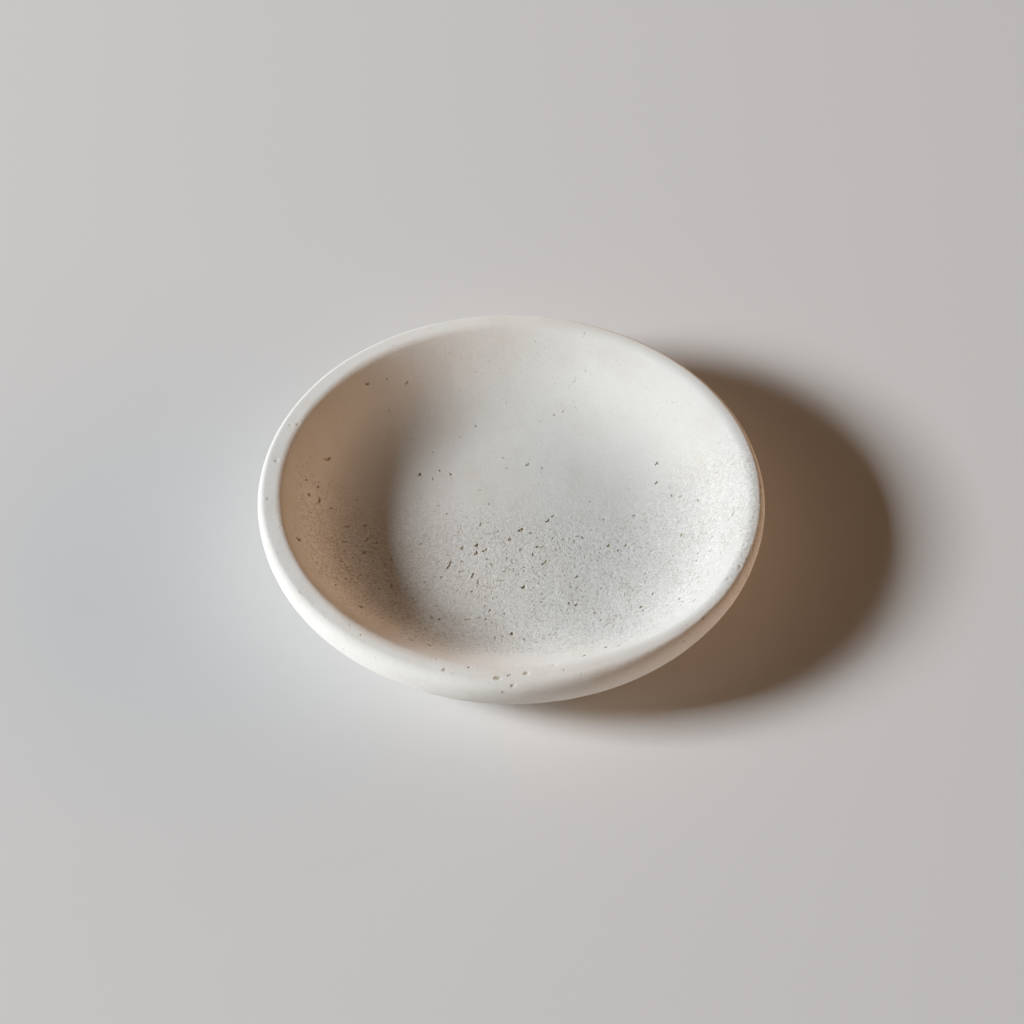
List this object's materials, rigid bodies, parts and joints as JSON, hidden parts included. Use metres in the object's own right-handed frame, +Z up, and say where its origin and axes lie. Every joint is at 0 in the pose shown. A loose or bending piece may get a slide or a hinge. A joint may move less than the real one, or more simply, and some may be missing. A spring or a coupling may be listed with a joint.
{
  "type": "trinket dish",
  "caption": "Round shallow ceramic dish with a flat floor, curved wall and thick rolled lip, standing on rubber pads stuck to its flat base.",
  "frame": {"origin": "on the table, under the middle of the dish", "axes": "+Z up along the axis that the dish was turned about; +X to the right and -Y towards the viewer of the picture"},
  "size_m": [0.125, 0.125, 0.0215],
  "materials": {
    "dish": "matte, dry and finely sandy, warm off-white, with small brown pinholes and pits",
    "pads": "soft clear-grey silicone rubber, satin"
  },
  "bodies": {
    "root": {"dish_body": "dish", "foot_pad_front_left": "pads", "foot_pad_front_right": "pads", "foot_pad_rear_left": "pads", "foot_pad_rear_right": "pads"}
  },
  "joints": []
}
